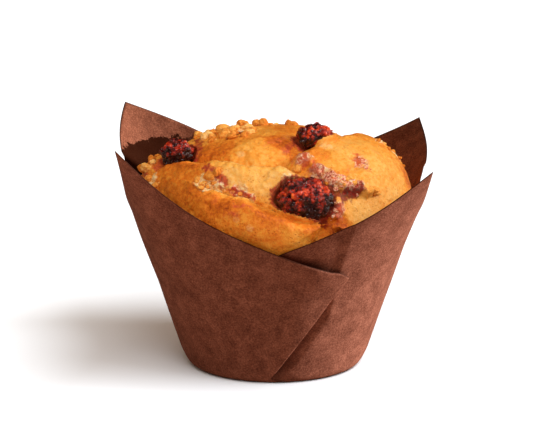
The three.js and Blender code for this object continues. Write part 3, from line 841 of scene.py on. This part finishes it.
def berry_shape(berry):
    """A berry's points, faces and the marks that its material reads."""
    seed = berry["seed"]
    rng = np.random.default_rng(seed)
    centre, half = np.array(berry["at"]), np.array(berry["half"])
    net, faces = geodesic(BERRY_FREQUENCY)
    edge = 1.0 / np.linalg.norm(net / half, axis=1)
    skin = net * edge[:, None]
    rays = unit(skin + noise_vector(skin, 1.7, seed + 40) * 0.42 + noise_vector(skin, 0.8, seed + 50) * 0.2)
    reach = 0.8 * edge + 0.5 * noise(skin, 3.4, seed + 2)
    owner, dome = np.zeros((2, len(net)))
    chosen = []
    for direction in unit(rng.normal(size=(DRUPELET_TRIES, 3))):
        size = rng.uniform(*DRUPELET_SIZE)
        sink = rng.uniform(0.0, 1.0)
        middle = direction * (1.0 / np.linalg.norm(direction / half) - size * 0.9 - sink)
        if all(np.linalg.norm(middle - other) > DRUPELET_SPACING * (size + r) for other, r in chosen):
            chosen.append((middle, size))
    for number, (middle, size) in enumerate(chosen):
        along = rays @ middle
        off = (middle @ middle) - along ** 2
        meets = (off < size * size) & (along > 0)
        height = np.sqrt(np.maximum(size * size - off, 0.0))
        far = np.where(meets, along + height * DRUPELET_HEIGHT, 0.0)
        better = far > reach
        owner = np.where(better, number * TINT_STEP % 1.0, owner)
        dome = np.where(better, height / size, dome)
        reach = np.maximum(reach, far)
    at = net * reach[:, None]
    reach = reach + noises(at, (1.5, seed, 0.42), (0.7, seed + 1, 0.2), (0.35, seed + 3, 0.07))
    reach = reach - 0.9 * smooth(-0.1, 0.7, noise(at, 4.2, seed + 4))
    reach = np.minimum(reach, edge + 0.05)
    points = centre + net * reach[:, None]
    for place, width, depth in berry["dents"]:
        reach = reach - depth * bell(points, place, width)
    points = centre + net * reach[:, None]
    marks = dict(owner=owner, dome=dome)
    # Shadow places give painted shade, glow places painted light.
    for name, entry in (("painted_shade", "shadow"), ("painted_light", "glow")):
        marks[name] = np.max([bell(points, place, width) for place, width in berry[entry]], axis=0)
    return points, faces, marks


# The folded sheet of the paper case.

BASE_RINGS = (0.0, 0.35, 0.62, 0.82, 0.94, 1.0)
FOOT_STEPS = 6
WALL_STEPS = 62


def sheet_columns():
    """The sheet's columns in order round the case: pleat or -1, role, place in the role, plain angle."""
    columns = []
    corners = [peak["at"] for peak in PEAKS.values()]
    for number, pleat in enumerate(PLEATS):
        run = [(number, role, u, 0.0) for role, places in PLEAT_COLUMNS.items() for u in places]
        columns += run if pleat["turn"] > 0 else run[::-1]
        after = (number + 1) % len(PLEATS)
        last = pleat["at"] + PLEAT_HALF
        following = PLEATS[after]["at"] - PLEAT_HALF
        following += 360.0 if following < last else 0.0
        steps = max(int((following - last) / COLUMN_STEP), 2)
        corner = last + (corners[after] - last) % 360.0
        even = np.linspace(last, following, steps + 1)[1:-1]
        plain = [angle for angle in even if abs(angle - corner) > TIP_HALF]
        plain += [corner + away for away in TIP_COLUMNS]
        columns += [(-1, "plain", 0.0, angle) for angle in sorted(plain)]
    return columns


def sheet_place(column, z, top):
    """Angle and offset of the sheet's middle at heights z of one column."""
    number, role, u, angle = column
    if role == "plain":
        return np.full_like(z, angle), np.full_like(z, -SHEET / 2)
    pleat = PLEATS[number]
    degrees = 180.0 / np.pi / wall_radius(np.full_like(z, pleat["at"]), z)
    fold = fold_run(pleat, z)
    hidden = hidden_run(pleat, z)
    layered = parted(z)
    outer_level = mix(-SHEET / 2, FOLD_STEP - SHEET / 2, layered)
    spring = pleat["lift"] * smooth(top - LIFT_HEIGHT, top, z)

    def outer_offset(across):
        part = (across + FLAP_ROOT) / (fold + FLAP_ROOT)
        open_part = smooth(0.15, 0.45, part) * (1.0 - 0.6 * smooth(0.5, 1.0, part))
        return mix(-SHEET / 2, outer_level, smooth(0.1, 0.6, part)) + spring * open_part

    at_fold = outer_offset(fold)
    between = (at_fold + under_offset(pleat, fold, z)) / 2
    middle_level = np.minimum(between, at_fold - 0.3 * layered)
    back_level = between - spring * 0.4
    swing = math.pi * u
    if role == "outer":
        across = mix(-PLEAT_HALF / degrees, fold, 1.0 - (1.0 - u) ** 1.3)
        offset = outer_offset(across)
    elif role == "turn":
        across = fold + np.sin(swing) * TURN_RADIUS * layered
        offset = mix(middle_level, at_fold, (1.0 + math.cos(swing)) / 2)
    elif role == "middle":
        across = mix(fold, -hidden, u)
        offset = mix(middle_level, back_level, smooth(0.0, 1.0, u))
    elif role == "back":
        across = -hidden - np.sin(swing) * TURN_RADIUS * layered
        offset = mix(under_offset(pleat, -hidden, z), back_level, (1.0 + math.cos(swing)) / 2)
    else:
        across = mix(-hidden, PLEAT_HALF / degrees, u ** 1.25)
        offset = under_offset(pleat, across, z)
    return pleat["at"] + pleat["turn"] * across * degrees, offset


def sheet_top(column):
    """Height of the free edge of one column."""
    number, role, u, angle = column
    if role == "plain":
        return float(rim_height(np.array(angle)))
    pleat = PLEATS[number]
    owner, under = PEAKS[pleat["owner"]], PEAKS[pleat["under"]]
    share = {"back": u, "under": 1.0}.get(role, 0.0)
    hidden = {"turn": u, "middle": 1.0, "back": 1.0 - u}.get(role, 0.0)
    top = 36.0
    for _ in range(40):
        there = float(sheet_place(column, np.array([top]), top)[0][0])
        past = max(abs(float(angle_between(there, owner["at"]))) - EDGE_ANGLE, 0.0)
        upper = float(edge_height(owner, np.array(there))) - FLAP_FALL[0] * past - FLAP_FALL[1] * past * past
        height = mix(upper, float(edge_height(under, np.array(there))), share)
        top = 0.5 * top + 0.5 * height
    return top - HIDDEN_DROP * hidden


def painted_fold_shade(column, angle, z):
    """How much shade is painted on a lower panel beside a fold and in the slit over the front flap."""
    number, role, _, _ = column
    if role != "under":
        return np.zeros(len(z))
    pleat = PLEATS[number]
    across = np.radians(angle_between(angle, pleat["at"])) * pleat["turn"] * wall_radius(angle, z)
    away = across - fold_run(pleat, z)
    span = mix(4.2, 1.2, smooth(4.0, 30.0, z))
    shade = (1.0 - smooth(0.3 * span, 1.15 * span, away)) * (1.0 - smooth(20.0, 31.0, z)) * pleat["dip"]
    above = above_flap(across, z)
    slit = smooth(-2.0, 0.5, across) * (1.0 - smooth(9.0, 15.0, across))
    slit = slit * smooth(-4.0, -1.0, above) * (1.0 - smooth(0.2, 1.8, above))
    return np.maximum(shade, SLIT_SHADE * pleat["pocket"] * slit)


def paper_shape():
    """The sheet's points, faces and the marks that its material reads."""
    base = FLAT_RADIUS * np.array(BASE_RINGS)
    turns = [WALL_TURN * i / FOOT_STEPS for i in range(1, FOOT_STEPS + 1)]
    round_radius = FOOT_ROUND - SHEET / 2
    low = np.array([FOOT_ROUND - round_radius * math.cos(turn) for turn in turns])
    middle, fold_shade_paint = [], []
    for column in sheet_columns():
        top = sheet_top(column)
        z = np.concatenate([low, mix(low[-1], top, np.linspace(0.0, 1.0, WALL_STEPS + 1)[1:])])
        angle, offset = sheet_place(column, z, top)
        radius = wall_radius(angle, z) + offset * LEVEL_THICKNESS
        radius[:FOOT_STEPS] = FLAT_RADIUS + round_radius * np.sin(turns) + offset[:FOOT_STEPS] + SHEET / 2
        disc = polar(np.full(len(base), angle[0]), base, np.full(len(base), SHEET / 2))
        middle.append(np.concatenate([disc, polar(angle, radius, z)]))
        fold_shade_paint.append(np.concatenate([np.zeros(len(base)), painted_fold_shade(column, angle, z)]))
    middle = np.array(middle)
    count, rows = middle.shape[:2]
    half = count * rows
    sway = noise(middle.reshape(-1, 3), SWAY_SIZE, 50).reshape(count, rows)
    sway = sway * smooth(8.0, 24.0, middle[..., 2]) * SWAY_DEPTH
    outward = unit(middle * np.array([1.0, 1.0, 0.0]))
    middle = middle + outward * sway[..., None]

    normal = unit(np.cross(np.roll(middle, -1, 0) - np.roll(middle, 1, 0), np.gradient(middle, axis=1)))
    plain = outward.copy()
    down = np.array([0.0, 0.0, -1.0])
    plain[:, :len(base)] = down
    for row, turn in enumerate(turns, len(base)):
        plain[:, row] = outward[:, row] * math.sin(turn) + down * math.cos(turn)
    normal = unit(mix(plain, normal, smooth(1.2, 3.2, middle[..., 2])[..., None]))
    points = np.concatenate([middle + normal * SHEET / 2, middle - normal * SHEET / 2]).reshape(-1, 3)

    c, r = np.meshgrid(np.arange(count), np.arange(rows - 1), indexing="ij")
    a, b = c * rows + r, (c + 1) % count * rows + r
    rim = np.arange(count) * rows + rows - 1
    following = np.roll(rim, -1)
    faces = [
        np.stack([a, b, b + 1, a + 1], -1).reshape(-1, 4),
        np.stack([a, a + 1, b + 1, b], -1).reshape(-1, 4) + half,
        np.stack([rim, following, following + half, rim + half], -1),
    ]
    edge = np.zeros((count, rows))
    edge[:, -1] = 1.0
    marks = dict(fold_shade_paint=np.tile(np.array(fold_shade_paint).reshape(-1), 2), edge=np.tile(edge.reshape(-1), 2))
    return points, np.concatenate(faces), dict(inner=np.repeat([0.0, 1.0], half), **marks)


# Materials.

class Look:
    """A node material around one principled shader."""

    def __init__(self, name):
        self.material = bpy.data.materials.new(name)
        self.material.use_nodes = True
        self.tree = self.material.node_tree
        self.tree.nodes.clear()
        output = self.tree.nodes.new("ShaderNodeOutputMaterial")
        self.shader = self.tree.nodes.new("ShaderNodeBsdfPrincipled")
        self.tree.links.new(self.shader.outputs[0], output.inputs[0])
        self.place = self.tree.nodes.new("ShaderNodeTexCoord").outputs["Object"]

    def put(self, socket, value):
        if isinstance(value, bpy.types.NodeSocket):
            self.tree.links.new(value, socket)
        elif socket.type == "RGBA":
            socket.default_value = (*value, 1.0)
        else:
            socket.default_value = value

    def set(self, **values):
        for name, value in values.items():
            self.put(self.shader.inputs[name.replace("_", " ")], value)

    def node(self, kind, inputs=(), **settings):
        node = self.tree.nodes.new(kind)
        for name, value in settings.items():
            setattr(node, name, value)
        for index, value in dict(inputs).items():
            self.put(node.inputs[index], value)
        return node

    def attribute(self, name):
        return self.node("ShaderNodeAttribute", attribute_name=name).outputs["Fac"]

    def math(self, operation, a, b):
        return self.node("ShaderNodeMath", {0: a, 1: b}, operation=operation).outputs[0]

    def add(self, total, *others):
        for other in others:
            total = self.math("ADD", total, other)
        return total

    def times(self, a, b):
        return self.math("MULTIPLY", a, b)

    def less(self, a, b):
        return self.math("SUBTRACT", a, b)

    def swing(self, value, size):
        """How far a noise is from its middle, times size."""
        return self.times(self.less(value, 0.5), size)

    def grain(self, size, detail=3.0, rough=0.55):
        """Noise with features of size mm."""
        inputs = {"Vector": self.place, "Scale": 1.0 / (size * MM), "Detail": detail, "Roughness": rough}
        return self.node("ShaderNodeTexNoise", inputs).outputs[0]

    def cell(self, size):
        """Distance to scattered points that are size mm apart."""
        inputs = {"Vector": self.place, "Scale": 1.0 / (size * MM)}
        return self.node("ShaderNodeTexVoronoi", inputs).outputs[0]

    def span(self, value, low, high, first=0.0, last=1.0):
        inputs = {"Value": value, "From Min": low, "From Max": high, "To Min": first, "To Max": last}
        return self.node("ShaderNodeMapRange", inputs, interpolation_type="SMOOTHSTEP").outputs[0]

    def ramp(self, value, stops):
        node = self.node("ShaderNodeValToRGB", {0: value})
        elements = node.color_ramp.elements
        while len(elements) < len(stops):
            elements.new(0.5)
        for element, (position, colour) in zip(elements, stops):
            element.position = position
            element.color = (*colour, 1.0)
        return node.outputs[0]

    def blend(self, factor, a, b, mode="MIX"):
        node = self.node("ShaderNodeMix", data_type="RGBA", blend_type=mode)
        for index, value in {0: factor, 6: a, 7: b}.items():
            self.put(node.inputs[index], value)
        return node.outputs[2]

    def bump(self, height, depth, strength=1.0, under=None):
        inputs = {"Height": height, "Distance": depth * MM, "Strength": strength}
        if under is not None:
            inputs["Normal"] = under
        return self.node("ShaderNodeBump", inputs).outputs[0]


PAPER_TONES = [(0.36, (0.2, 0.06, 0.034)), (0.5, (0.39, 0.138, 0.086)), (0.64, (0.64, 0.255, 0.17))]
CRUST_TONES = [
    (0.0, (0.97, 0.6, 0.22)), (0.2, (0.93, 0.48, 0.11)), (0.42, (0.87, 0.34, 0.04)),
    (0.62, (0.75, 0.19, 0.014)), (0.8, (0.5, 0.095, 0.008)), (1.0, (0.2, 0.03, 0.005))]
CRUMB_TONES = [(0.36, (0.9, 0.36, 0.08)), (0.5, (1.0, 0.64, 0.27)), (0.62, (1.0, 0.82, 0.48))]
PINK_TONES = [(0.41, (0.42, 0.04, 0.025)), (0.5, (0.88, 0.29, 0.17)), (0.58, (1.0, 0.74, 0.5))]
JUICE_TONES = [
    (0.0, (0.88, 0.22, 0.06)), (0.35, (0.6, 0.075, 0.03)),
    (0.7, (0.27, 0.018, 0.012)), (1.0, (0.08, 0.006, 0.005))]
CRUMBLE_TONES = [
    (0.3, (0.52, 0.12, 0.012)), (0.5, (0.78, 0.26, 0.035)),
    (0.7, (0.92, 0.43, 0.09)), (0.9, (0.99, 0.66, 0.28))]
CRUMBLE_PINK = [(0.38, (0.44, 0.045, 0.03)), (0.5, (0.86, 0.3, 0.18)), (0.6, (1.0, 0.74, 0.52))]
BERRY_TONES = [
    (0.0, (0.02, 0.002, 0.002)), (0.15, (0.1, 0.006, 0.004)), (0.35, (0.3, 0.014, 0.006)),
    (0.55, (0.6, 0.04, 0.007)), (0.8, (0.92, 0.15, 0.02))]
SPECK = (0.68, 0.32, 0.22)
# painted shade beside the paper's folds
FOLD_SHADE_COLOUR = (0.1, 0.026, 0.013)
INNER_FACE = (1.0, 0.9, 0.74)
# painted shadow on the paper's inner face
SHADOW_PAINT = (0.032, 0.007, 0.003)
# painted shade on the sheet's top edge
RIM_SHADE_PAINT = (0.09, 0.024, 0.013)
PORE = (0.5, 0.12, 0.012)


def paper_look():
    look = Look("brown_baking_paper")
    fibre = look.grain(0.5, 5.0, 0.72)
    cloud = look.grain(4.0, 4.0, 0.62)
    colour = look.ramp(look.add(look.times(fibre, 0.62), look.times(cloud, 0.38)), PAPER_TONES)
    speck = look.span(look.grain(0.4, 2.0), 0.64, 0.72)
    colour = look.blend(look.times(speck, 0.45), colour, SPECK)
    # Painted shade beside the folds and in the slit over the front flap.
    colour = look.blend(look.times(look.attribute("fold_shade_paint"), 0.5), colour, FOLD_SHADE_COLOUR)
    inner = look.attribute("inner")
    colour = look.blend(inner, colour, look.blend(1.0, colour, INNER_FACE, "MULTIPLY"))
    # Painted shadow: the inner face on the left is darkened below a ragged line, and loses its sheen there.
    x, _, z = look.node("ShaderNodeSeparateXYZ", {0: look.place}).outputs
    border = look.add(SHADOW_PAINT_TOP * MM, look.swing(look.grain(3.2, 4.0, 0.68), 0.009))
    left = look.span(x, -0.018, -0.03)
    shadow_paint = look.times(look.times(inner, look.span(look.less(border, z), -0.0002, 0.0003)), left)
    colour = look.blend(look.times(shadow_paint, 0.95), colour, SHADOW_PAINT)
    # Painted shade darkens the sheet's top edge, where it would catch the light.
    edge = look.span(look.attribute("edge"), 0.6, 0.95)
    colour = look.blend(look.times(edge, 0.8), colour, RIM_SHADE_PAINT)
    normal = look.bump(look.add(fibre, look.times(cloud, 1.6)), 0.1, 0.6)
    dull = look.times(look.less(1.0, shadow_paint), 0.2)
    look.set(Base_Color=colour, Roughness=0.78, Normal=normal, Specular_IOR_Level=dull)
    return look.material


def crust_look():
    look = Look("baked_crust")
    torn = look.attribute("torn")
    cloud = look.grain(7.0, 3.0, 0.55)
    freckle = look.grain(1.2, 6.0, 0.78)
    tone = look.add(look.attribute("bake"), look.swing(cloud, 0.4), look.swing(freckle, 1.05))
    tone = look.add(tone, look.times(look.attribute("lip"), 0.14), look.times(look.attribute("inside"), -0.1))
    colour = look.ramp(tone, CRUST_TONES)
    few = look.span(look.grain(2.5, 2.0), 0.42, 0.58)
    hole = look.times(look.span(look.cell(0.75), 0.34, 0.12), few)
    colour = look.blend(look.times(hole, 0.5), colour, PORE)
    rough_crumb = look.grain(0.8, 5.0, 0.72)
    blush = look.add(look.attribute("pink"), look.swing(look.grain(2.4, 4.0, 0.62), 1.6))
    crumb, pink = look.ramp(rough_crumb, CRUMB_TONES), look.ramp(rough_crumb, PINK_TONES)
    crumb = look.blend(look.span(blush, 0.2, 1.0), crumb, pink)
    colour = look.blend(look.span(torn, 0.3, 0.7), colour, crumb)
    wet = look.add(look.attribute("stain"), look.swing(look.grain(1.8, 4.0, 0.66), 1.5))
    juice = look.ramp(look.add(look.attribute("dark"), look.swing(rough_crumb, 1.4)), JUICE_TONES)
    colour = look.blend(look.times(look.span(wet, 0.3, 0.95), 0.92), colour, juice)
    coarse = look.bump(look.grain(1.6, 4.0, 0.65), 0.5, 0.5)
    fine = look.bump(look.grain(0.45, 5.0, 0.75), 0.26, 0.8, coarse)
    rough = look.bump(look.times(rough_crumb, look.span(torn, 0.2, 0.8)), 0.6, 0.7, fine)
    normal = look.bump(look.less(1.0, hole), 0.2, 0.7, rough)
    look.set(Base_Color=colour, Roughness=0.45, Normal=normal, Specular_IOR_Level=0.3)
    look.set(Subsurface_Weight=0.08, Subsurface_Radius=(1.0, 0.45, 0.15), Subsurface_Scale=MM)
    return look.material


def crumble_look():
    look = Look("pale_crumble")
    rough_crumb = look.grain(0.7, 5.0, 0.72)
    tone = look.add(look.times(look.attribute("tint"), 0.4), look.times(rough_crumb, 0.8))
    colour = look.ramp(tone, CRUMBLE_TONES)
    juicy = look.add(look.attribute("pink"), look.swing(look.grain(1.1, 4.0, 0.7), 1.3))
    colour = look.blend(look.span(juicy, 0.15, 0.7), colour, look.ramp(rough_crumb, CRUMBLE_PINK))
    normal = look.bump(rough_crumb, 0.5, 0.8)
    look.set(Base_Color=colour, Roughness=0.75, Normal=normal, Specular_IOR_Level=0.12)
    look.set(Subsurface_Weight=0.1, Subsurface_Radius=(1.0, 0.5, 0.2), Subsurface_Scale=MM)
    return look.material


def berry_look():
    look = Look("baked_berry")
    fine = look.grain(0.5, 5.0, 0.72)
    tone = look.add(look.swing(look.grain(3.0, 3.0, 0.6), 2.0), look.swing(fine, 1.1), -0.07)
    # The dome paints each drupelet lighter at its top and darker in the gaps between, as painted shade; the shade
    # and light marks are painted too.
    for mark, share in (("dome", 0.34), ("owner", 0.16), ("painted_light", 0.2), ("painted_shade", -0.65)):
        tone = look.add(tone, look.times(look.attribute(mark), share))
    gloss = look.span(look.grain(0.8, 2.0), 0.35, 0.65, 0.12, 0.4)
    normal = look.bump(look.add(fine, look.times(look.cell(0.9), 0.5)), 0.25, 0.9)
    look.set(Base_Color=look.ramp(tone, BERRY_TONES), Roughness=gloss, Normal=normal, Coat_Normal=normal)
    look.set(Specular_IOR_Level=0.6, Coat_Weight=0.6, Coat_Roughness=0.12)
    return look.material


# Meshes.

def show(thing):
    bpy.context.scene.collection.objects.link(thing)


def piece(name, points, faces, look, marks, merge=0.0):
    mesh = bpy.data.meshes.new(name)
    mesh.from_pydata((np.asarray(points) * MM).tolist(), [], np.asarray(faces).tolist())
    for label, values in marks.items():
        attribute = mesh.attributes.new(label, "FLOAT", "POINT")
        attribute.data.foreach_set("value", np.ascontiguousarray(values, dtype=np.float32))
    if merge:
        form = bmesh.new()
        form.from_mesh(mesh)
        bmesh.ops.remove_doubles(form, verts=form.verts, dist=merge * MM)
        bmesh.ops.dissolve_degenerate(form, edges=form.edges, dist=merge * MM)
        form.to_mesh(mesh)
        form.free()
    mesh.validate()
    mesh.shade_smooth()
    mesh.materials.append(look)
    item = bpy.data.objects.new(name, mesh)
    show(item)
    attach(item, "root")
    return item


paper_points, paper_faces, paper_marks = paper_shape()
paper = piece("folded_paper_case", paper_points, paper_faces, paper_look(), paper_marks, merge=0.004)
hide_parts("paper_wrap")

crust_points, crust_faces, crust_marks = crust()
muffin = piece("muffin_crust", crust_points, crust_faces, crust_look(), crust_marks)
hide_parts("muffin")

crumb_points, crumb_faces, crumb_tint, crumb_pink = crumble()
crumb_marks = dict(tint=crumb_tint, pink=crumb_pink)
crumbs = piece("muffin_crumble", crumb_points, crumb_faces, crumble_look(), crumb_marks)

berry_material = berry_look()
for entry in BERRIES:
    berry_points, berry_faces, berry_marks = berry_shape(entry)
    item = piece(entry["name"] + "_fruit", berry_points, berry_faces, berry_material, berry_marks)
    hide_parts(entry["name"])

# Floor, light and camera. The key light falls on the food, and a broader one on the floor.
FLOOR_REACH = 6.0
FLOOR_BOUNCE = (0.28, 0.185, 0.135)  # the floor's colour in the light that it throws back
floor_mesh = bpy.data.meshes.new("floor")
floor_corners = [(x * FLOOR_REACH, y * FLOOR_REACH, 0.0) for x, y in ((-1, -1), (1, -1), (1, 1), (-1, 1))]
floor_mesh.from_pydata(floor_corners, [], [(0, 1, 2, 3)])
floor = bpy.data.objects.new("floor", floor_mesh)
show(floor)


def floor_look():
    """Pale to the camera, and browner in the light that it throws back."""
    look = Look("pale_floor")
    pale = look.ramp(look.grain(300.0), [(0.3, (0.9, 0.9, 0.9)), (0.7, (0.92, 0.92, 0.92))])
    direct = look.node("ShaderNodeLightPath").outputs["Is Camera Ray"]
    look.set(Base_Color=look.blend(direct, FLOOR_BOUNCE, pale), Roughness=0.9, Specular_IOR_Level=0.0)
    return look.material


floor_mesh.materials.append(floor_look())


def lit_by(light, things):
    group = bpy.data.collections.new(light.name + "_receivers")
    for thing in things:
        group.objects.link(thing)
    light.light_linking.receiver_collection = group


def sun(name, side, up, strength, spread, colour, things):
    """A distant light; side is degrees from +X towards the front, up its height."""
    data = bpy.data.lights.new(name, "SUN")
    data.energy = strength
    data.angle = math.radians(spread)
    data.color = colour
    light = bpy.data.objects.new(name, data)
    side, up = math.radians(side), math.radians(up)
    source = Vector((math.cos(side) * math.cos(up), -math.sin(side) * math.cos(up), math.sin(up)))
    light.rotation_euler = source.to_track_quat("Z", "Y").to_euler()
    show(light)
    light.visible_glossy = spread < 30.0
    lit_by(light, things)


berries = [thing for thing in bpy.context.scene.objects if thing.name.startswith("berry_")]
baked = [thing for thing in bpy.context.scene.objects if thing.type == "MESH" and thing not in (floor, paper)]
sun("paper_key", -3.0, 14.0, 3.55, 4.0, (1.0, 0.97, 0.93), [paper])
sun("crust_key", -2.0, 24.0, 1.6, 5.0, (1.0, 0.97, 0.93), baked)
sun("crust_fill", 75.0, 46.0, 3.0, 100.0, (1.0, 0.95, 0.88), baked)
sun("berry_glint", 112.0, 58.0, 0.7, 6.0, (1.0, 0.98, 0.95), berries)
sun("floor_light", 28.0, 54.0, 3.4, 40.0, (0.86, 0.93, 1.0), [floor])
sun("floor_front", 76.0, 42.0, 1.55, 34.0, (0.9, 0.95, 1.0), [floor])
sun("floor_fill", 0.0, 90.0, 0.92, 140.0, (1.0, 0.8, 0.62), [floor])

world = bpy.data.worlds.new("sky")
world.use_nodes = True
background = world.node_tree.nodes["Background"]
background.inputs[0].default_value = (1.0, 0.8, 0.67, 1.0)
background.inputs[1].default_value = 0.15
world.cycles_visibility.glossy = False
bpy.context.scene.world = world

camera_data = bpy.data.cameras.new("camera")
camera_data.sensor_width = SENSOR
camera_data.sensor_fit = "HORIZONTAL"
camera_data.lens = LENS_PIXELS / PICTURE[0] * SENSOR
camera_data.clip_end = 50.0
camera = bpy.data.objects.new("camera", camera_data)
camera.location = Vector(CAMERA_AT) * MM
camera.rotation_euler = (math.radians(90.0 - CAMERA_DOWN), 0.0, 0.0)
show(camera)
bpy.context.scene.camera = camera
bpy.context.scene.view_settings.view_transform = "Standard"
bpy.context.scene.view_settings.look = "None"
